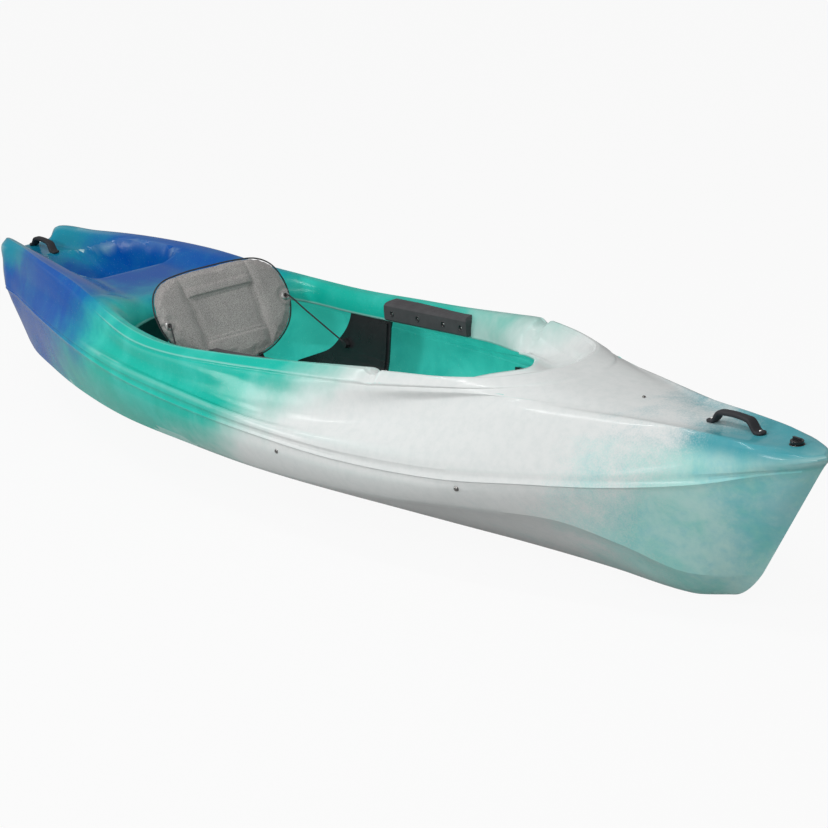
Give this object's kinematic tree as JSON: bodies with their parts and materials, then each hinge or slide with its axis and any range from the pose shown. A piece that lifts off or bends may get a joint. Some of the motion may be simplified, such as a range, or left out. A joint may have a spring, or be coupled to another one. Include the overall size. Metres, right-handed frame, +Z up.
{
  "type": "recreational kayak",
  "caption": "Short sit-inside recreational kayak: moulded shell, large cockpit, seat with folding padded backrest, thigh pads, foot braces, rear tank well, carry handles and bow drain plug.",
  "frame": {"origin": "under the middle of the boat, at the height of the keel", "axes": "+X to the bow, +Y to port, +Z up"},
  "size_m": [3.05, 0.7262, 0.4528],
  "materials": {
    "moulded_shell": "rotomoulded polyethylene, smooth and glossy",
    "black_plastic": "fine moulded grain",
    "handle_plastic": "satin, fine moulded grain",
    "grey_fabric": "heathered woven cloth over foam",
    "black_cord": "braided cord",
    "black_rubber": "matte",
    "stainless_steel": "satin",
    "black_foam": "closed-cell foam"
  },
  "bodies": {
    "root": {"hull_shell": "moulded_shell", "seat_pan": "black_plastic", "seat_cushion": "grey_fabric", "backrest_cord_port": "black_cord", "backrest_cord_starboard": "black_cord", "cord_cleat_port": "black_plastic", "cord_cleat_starboard": "black_plastic", "backrest_pin_port": "stainless_steel", "backrest_pin_starboard": "stainless_steel", "thigh_pad_port": "black_plastic", "thigh_pad_starboard": "black_plastic", "pad_screw_port_1": "stainless_steel", "pad_screw_port_2": "stainless_steel", "pad_screw_port_3": "stainless_steel", "pad_screw_port_4": "stainless_steel", "pad_screw_starboard_1": "stainless_steel", "pad_screw_starboard_2": "stainless_steel", "pad_screw_starboard_3": "stainless_steel", "pad_screw_starboard_4": "stainless_steel", "brace_rail_port": "black_plastic", "brace_rail_starboard": "black_plastic", "brace_bolt_rear_port": "stainless_steel", "brace_bolt_front_port": "stainless_steel", "brace_bolt_rear_starboard": "stainless_steel", "brace_bolt_front_starboard": "stainless_steel", "brace_nut_rear_port": "stainless_steel", "brace_nut_front_port": "stainless_steel", "brace_nut_rear_starboard": "stainless_steel", "brace_nut_front_starboard": "stainless_steel", "bow_handle": "handle_plastic", "bow_handle_screw_1": "stainless_steel", "bow_handle_screw_2": "stainless_steel", "stern_handle": "handle_plastic", "stern_handle_screw_1": "stainless_steel", "stern_handle_screw_2": "stainless_steel", "foredeck_screw": "stainless_steel", "drain_socket": "black_plastic", "bow_foam_pillar": "black_foam", "stern_foam_pillar": "black_foam"},
    "backrest": {"backrest_panel": "black_plastic", "backrest_pad": "grey_fabric", "backrest_eyelet_port": "stainless_steel", "backrest_eyelet_starboard": "stainless_steel"},
    "pedal_port": {"brace_pedal_port": "black_plastic"},
    "pedal_starboard": {"brace_pedal_starboard": "black_plastic"},
    "latch_port": {"brace_latch_port": "black_plastic"},
    "latch_starboard": {"brace_latch_starboard": "black_plastic"},
    "gasket": {"drain_gasket": "black_rubber"},
    "plug": {"drain_plug": "black_plastic"}
  },
  "joints": [
    {"name": "backrest_fold", "type": "hinge", "parent": "root", "child": "backrest", "pos_m": [-0.45817, 0, 0.17422], "axis": [0, 1, 0], "range_deg": [-8, 95], "deforming": ["backrest_cord_port", "backrest_cord_starboard"]},
    {"name": "pedal_port_slide", "type": "slide", "parent": "root", "child": "pedal_port", "axis": [0.9899, -0.1409, 0.0164], "range_m": [-0.175, 0.225]},
    {"name": "pedal_starboard_slide", "type": "slide", "parent": "root", "child": "pedal_starboard", "axis": [0.9899, 0.1409, 0.0164], "range_m": [-0.175, 0.225]},
    {"name": "latch_port_turn", "type": "hinge", "parent": "pedal_port", "child": "latch_port", "pos_m": [0.48179, 0.28607, 0.22637], "axis": [0.9899, -0.1409, 0.0164], "range_deg": [0, 12]},
    {"name": "latch_starboard_turn", "type": "hinge", "parent": "pedal_starboard", "child": "latch_starboard", "pos_m": [0.48179, -0.28607, 0.22637], "axis": [-0.9899, -0.1409, -0.0164], "range_deg": [0, 12]},
    {"name": "gasket_lift", "type": "slide", "parent": "root", "child": "gasket", "axis": [0.0505, 0, 0.9987], "range_m": [0, 0.009]},
    {"name": "plug_turn", "type": "hinge", "parent": "gasket", "child": "plug", "pos_m": [1.44663, 0, 0.38723], "axis": [0.0505, 0, 0.9987], "range_deg": [0, 1080]}
  ],
  "couplings": [
    {"joint": "gasket_lift", "follows": "plug_turn", "m_per_rad": 0.000477}
  ]
}
